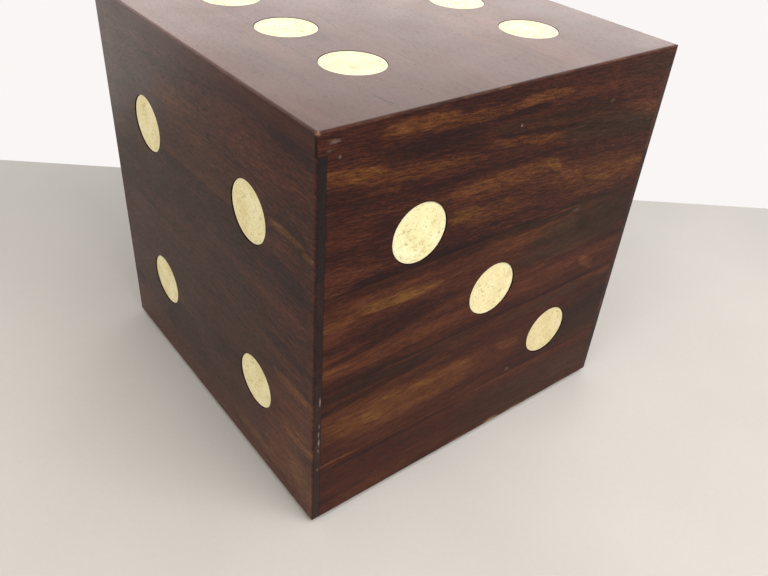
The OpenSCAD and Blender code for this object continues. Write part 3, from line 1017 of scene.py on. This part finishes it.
def build_stage():
    """The floor, a wall behind the object, the panel that the finish mirrors, and the round wall."""
    signs = ((-1, -1), (1, -1), (1, 1), (-1, 1))
    stage_plane("stage_floor", [(x * FLOOR_HALF, y * FLOOR_HALF, 0) for x, y in signs], floor_material())
    away = Vector((math.sin(WALL_HEADING), math.cos(WALL_HEADING), 0.0))
    sideways = Vector((math.cos(WALL_HEADING), -math.sin(WALL_HEADING), 0.0))
    foot = away * WALL_DISTANCE
    up = Vector((0.0, 0.0, WALL_HEIGHT))
    left, right = foot - sideways * WALL_HALF, foot + sideways * WALL_HALF
    corners = [left, right, right + up, left + up]
    wall_light = glowing("stage_wall", WALL_COLOUR, WALL_STRENGTH)
    wall = stage_plane("stage_wall", corners, wall_light)
    panel = stage_plane("stage_panel", corners, glowing("stage_panel", panel_colour, panel_strength))
    around = round_wall(wall_light)
    # The camera sees only the walls, the finish mirrors only the panel, and none of them shades the object
    for plane in (wall, around):
        plane.visible_glossy = False
    panel.visible_camera = False
    for plane in (wall, around, panel):
        plane.visible_shadow = False
        plane.visible_diffuse = False


# Soft lights: name, place, width, height, watts and colour
LIGHTS = [
    ("overhead", (0.1, -0.8, 2.8), 2.6, 2.6, 40, (1.0, 1.0, 1.0)),
    ("front_right", (0.6, -2.4, 2.2), 2.4, 1.8, 70, (1.0, 0.96, 0.91)),
    ("left", (-3.0, -0.6, 1.9), 2.0, 1.6, 51, (1.0, 0.94, 0.85)),
    ("back_fill", (2.4, 1.7, 1.0), 1.6, 1.2, 16, (1.0, 1.0, 1.0)),
]
AIR_COLOUR = (1.0, 0.95, 0.87, 1.0)
AIR_STRENGTH = 0.38


def softbox(name, place, target, width, height, watts, colour):
    """A rectangular soft light at a place, aimed at a target, that the camera doesn't see."""
    light = bpy.data.lights.new(name, "AREA")
    light.shape = "RECTANGLE"
    light.size, light.size_y = width, height
    light.energy = watts
    light.color = colour
    lamp = bpy.data.objects.new(name, light)
    lamp.location = place
    lamp.rotation_mode = "QUATERNION"
    lamp.rotation_quaternion = (Vector(target) - Vector(place)).to_track_quat("-Z", "Y")
    lamp.visible_camera = False
    bpy.context.scene.collection.objects.link(lamp)
    return lamp


def light_stage():
    """Soft lights aimed at the middle of the cube, and an even light from all round."""
    middle = (0.0, 0.0, (BOTTOM + TOP) / 2)
    lamps = {}
    for name, place, width, height, watts, colour in LIGHTS:
        lamps[name] = softbox(name, place, middle, width, height, watts, colour)
    # The fill behind lights the two far faces without a glare on the top
    lamps["back_fill"].visible_glossy = False
    world = bpy.data.worlds.new("studio")
    world.use_nodes = True
    background = world.node_tree.nodes["Background"]
    background.inputs["Color"].default_value = AIR_COLOUR
    background.inputs["Strength"].default_value = AIR_STRENGTH
    bpy.context.scene.world = world


CAMERA_PLACE = (-0.509, -0.651, 0.687)
CAMERA_HEADING = math.radians(40.14)
CAMERA_PITCH = math.radians(-35.69)
CAMERA_ROLL = math.radians(4.62)
# Focal length and sensor width in mm
CAMERA_LENS = 35.27
CAMERA_SENSOR = 36.0


def set_camera():
    """Looks down on the near corner: heading from +Y towards +X, pitch from the level, and roll."""
    data = bpy.data.cameras.new("camera")
    data.lens = CAMERA_LENS
    data.sensor_width = CAMERA_SENSOR
    camera = bpy.data.objects.new("camera", data)
    level = Euler((math.pi / 2 + CAMERA_PITCH, 0.0, -CAMERA_HEADING)).to_matrix()
    turned = level @ Matrix.Rotation(CAMERA_ROLL, 3, "Z")
    camera.matrix_world = Matrix.Translation(CAMERA_PLACE) @ turned.to_4x4()
    bpy.context.scene.collection.objects.link(camera)
    bpy.context.scene.camera = camera


set_camera()
clothe_boards()
clothe_inner_parts()
inlay_discs()
build_stage()
light_stage()
bpy.context.scene.view_settings.view_transform = "Standard"
